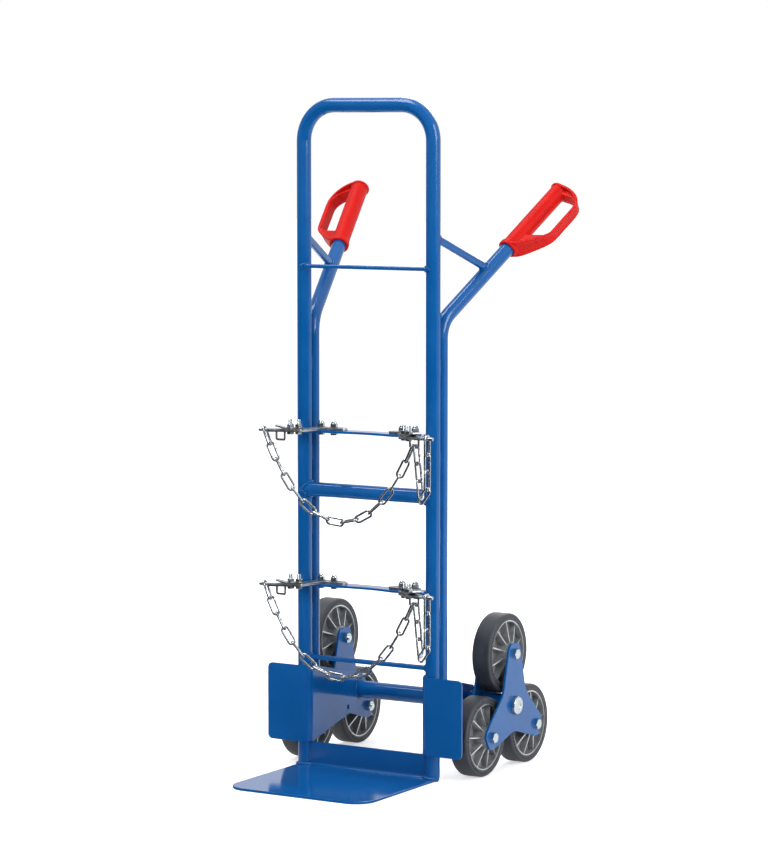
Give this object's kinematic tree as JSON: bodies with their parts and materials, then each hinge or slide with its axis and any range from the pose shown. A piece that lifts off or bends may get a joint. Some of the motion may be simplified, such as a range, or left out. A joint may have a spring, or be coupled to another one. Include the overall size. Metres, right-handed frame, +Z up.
{
  "type": "gas cylinder trolley",
  "caption": "Blue tubular steel gas cylinder trolley with red guarded grips, chain arms, a toe plate and a three-wheel stair climbing star on each side",
  "frame": {"origin": "Centre of the toe plate's underside, on the floor", "axes": "X across the trolley to its right hand side in the picture, Y to its back, Z up"},
  "size_m": [0.5866, 0.6474, 1.344],
  "materials": {
    "blue_paint": "glossy blue powder coat",
    "grip_red": "satin red moulded plastic",
    "tyre_grey": "dull dark grey solid rubber",
    "rim_grey": "plain cast aluminium",
    "bush_bronze": "plain turned bronze",
    "galvanised": "zinc plated strap",
    "bright_zinc": "bright zinc plate",
    "chain_zinc": "bright zinc plated wire"
  },
  "bodies": {
    "frame": {"frame_tube": "blue_paint", "handle_tube_left": "blue_paint", "handle_tube_right": "blue_paint", "handle_brace_left": "blue_paint", "handle_brace_right": "blue_paint", "upper_cross_rod": "blue_paint", "middle_cross_tube": "blue_paint", "lower_cross_rod": "blue_paint", "axle_tube": "blue_paint", "axle_bracket_left": "blue_paint", "axle_bracket_right": "blue_paint", "toe_plate": "blue_paint", "upper_rest": "blue_paint", "lower_rest": "blue_paint", "grip_left": "grip_red", "grip_right": "grip_red", "upper_arm_left": "galvanised", "upper_arm_right": "galvanised", "lower_arm_left": "galvanised", "lower_arm_right": "galvanised", "upper_chain_clamps": "galvanised", "lower_chain_clamps": "galvanised", "rest_bolts": "bright_zinc", "clamp_bolts": "bright_zinc", "axle": "bright_zinc", "axle_caps": "bright_zinc"},
    "star_left": {"star_outer_plate_left": "blue_paint", "star_inner_plate_left": "blue_paint", "star_hub_left": "blue_paint", "star_bushes_left": "bush_bronze", "wheel_bolts_left": "bright_zinc"},
    "wheel_left_top": {"tyre_left_top": "tyre_grey", "rim_left_top": "rim_grey", "bush_left_top": "bush_bronze"},
    "wheel_left_front": {"tyre_left_front": "tyre_grey", "rim_left_front": "rim_grey", "bush_left_front": "bush_bronze"},
    "wheel_left_rear": {"tyre_left_rear": "tyre_grey", "rim_left_rear": "rim_grey", "bush_left_rear": "bush_bronze"},
    "star_right": {"star_outer_plate_right": "blue_paint", "star_inner_plate_right": "blue_paint", "star_hub_right": "blue_paint", "star_bushes_right": "bush_bronze", "wheel_bolts_right": "bright_zinc"},
    "wheel_right_top": {"tyre_right_top": "tyre_grey", "rim_right_top": "rim_grey", "bush_right_top": "bush_bronze"},
    "wheel_right_front": {"tyre_right_front": "tyre_grey", "rim_right_front": "rim_grey", "bush_right_front": "bush_bronze"},
    "wheel_right_rear": {"tyre_right_rear": "tyre_grey", "rim_right_rear": "rim_grey", "bush_right_rear": "bush_bronze"},
    "upper_run": {"upper_chain": "chain_zinc"},
    "upper_tail": {"upper_chain_tail": "chain_zinc"},
    "lower_run": {"lower_chain": "chain_zinc"},
    "lower_tail": {"lower_chain_tail": "chain_zinc"}
  },
  "joints": [
    {"name": "star_left_turn", "type": "hinge", "parent": "frame", "child": "star_left", "pos_m": [-0.2, 0.318, 0.132], "axis": [1, 0, 0], "continuous": true},
    {"name": "wheel_left_top_turn", "type": "hinge", "parent": "star_left", "child": "wheel_left_top", "pos_m": [-0.2, 0.318, 0.236], "axis": [1, 0, 0], "continuous": true},
    {"name": "wheel_left_front_turn", "type": "hinge", "parent": "star_left", "child": "wheel_left_front", "pos_m": [-0.2, 0.22793, 0.08], "axis": [1, 0, 0], "continuous": true},
    {"name": "wheel_left_rear_turn", "type": "hinge", "parent": "star_left", "child": "wheel_left_rear", "pos_m": [-0.2, 0.40807, 0.08], "axis": [1, 0, 0], "continuous": true},
    {"name": "star_right_turn", "type": "hinge", "parent": "frame", "child": "star_right", "pos_m": [0.2, 0.318, 0.132], "axis": [1, 0, 0], "continuous": true},
    {"name": "wheel_right_top_turn", "type": "hinge", "parent": "star_right", "child": "wheel_right_top", "pos_m": [0.2, 0.318, 0.236], "axis": [1, 0, 0], "continuous": true},
    {"name": "wheel_right_front_turn", "type": "hinge", "parent": "star_right", "child": "wheel_right_front", "pos_m": [0.2, 0.22793, 0.08], "axis": [1, 0, 0], "continuous": true},
    {"name": "wheel_right_rear_turn", "type": "hinge", "parent": "star_right", "child": "wheel_right_rear", "pos_m": [0.2, 0.40807, 0.08], "axis": [1, 0, 0], "continuous": true},
    {"name": "upper_run_swing", "type": "hinge", "parent": "frame", "child": "upper_run", "pos_m": [-0.01858, 0.05545, 0.67825], "axis": [0.9983, 0.0205, -0.0548], "range_deg": [-75, 15]},
    {"name": "upper_tail_swing", "type": "hinge", "parent": "frame", "child": "upper_tail", "pos_m": [0.17278, 0.05545, 0.67825], "axis": [0.8215, -0.1993, 0.5342], "range_deg": [-12, 20]},
    {"name": "lower_run_swing", "type": "hinge", "parent": "frame", "child": "lower_run", "pos_m": [-0.01858, 0.05545, 0.36925], "axis": [0.9983, 0.0205, -0.0548], "range_deg": [-75, 15]},
    {"name": "lower_tail_swing", "type": "hinge", "parent": "frame", "child": "lower_tail", "pos_m": [0.17278, 0.05545, 0.36925], "axis": [0.8215, -0.1993, 0.5342], "range_deg": [-12, 20]}
  ]
}
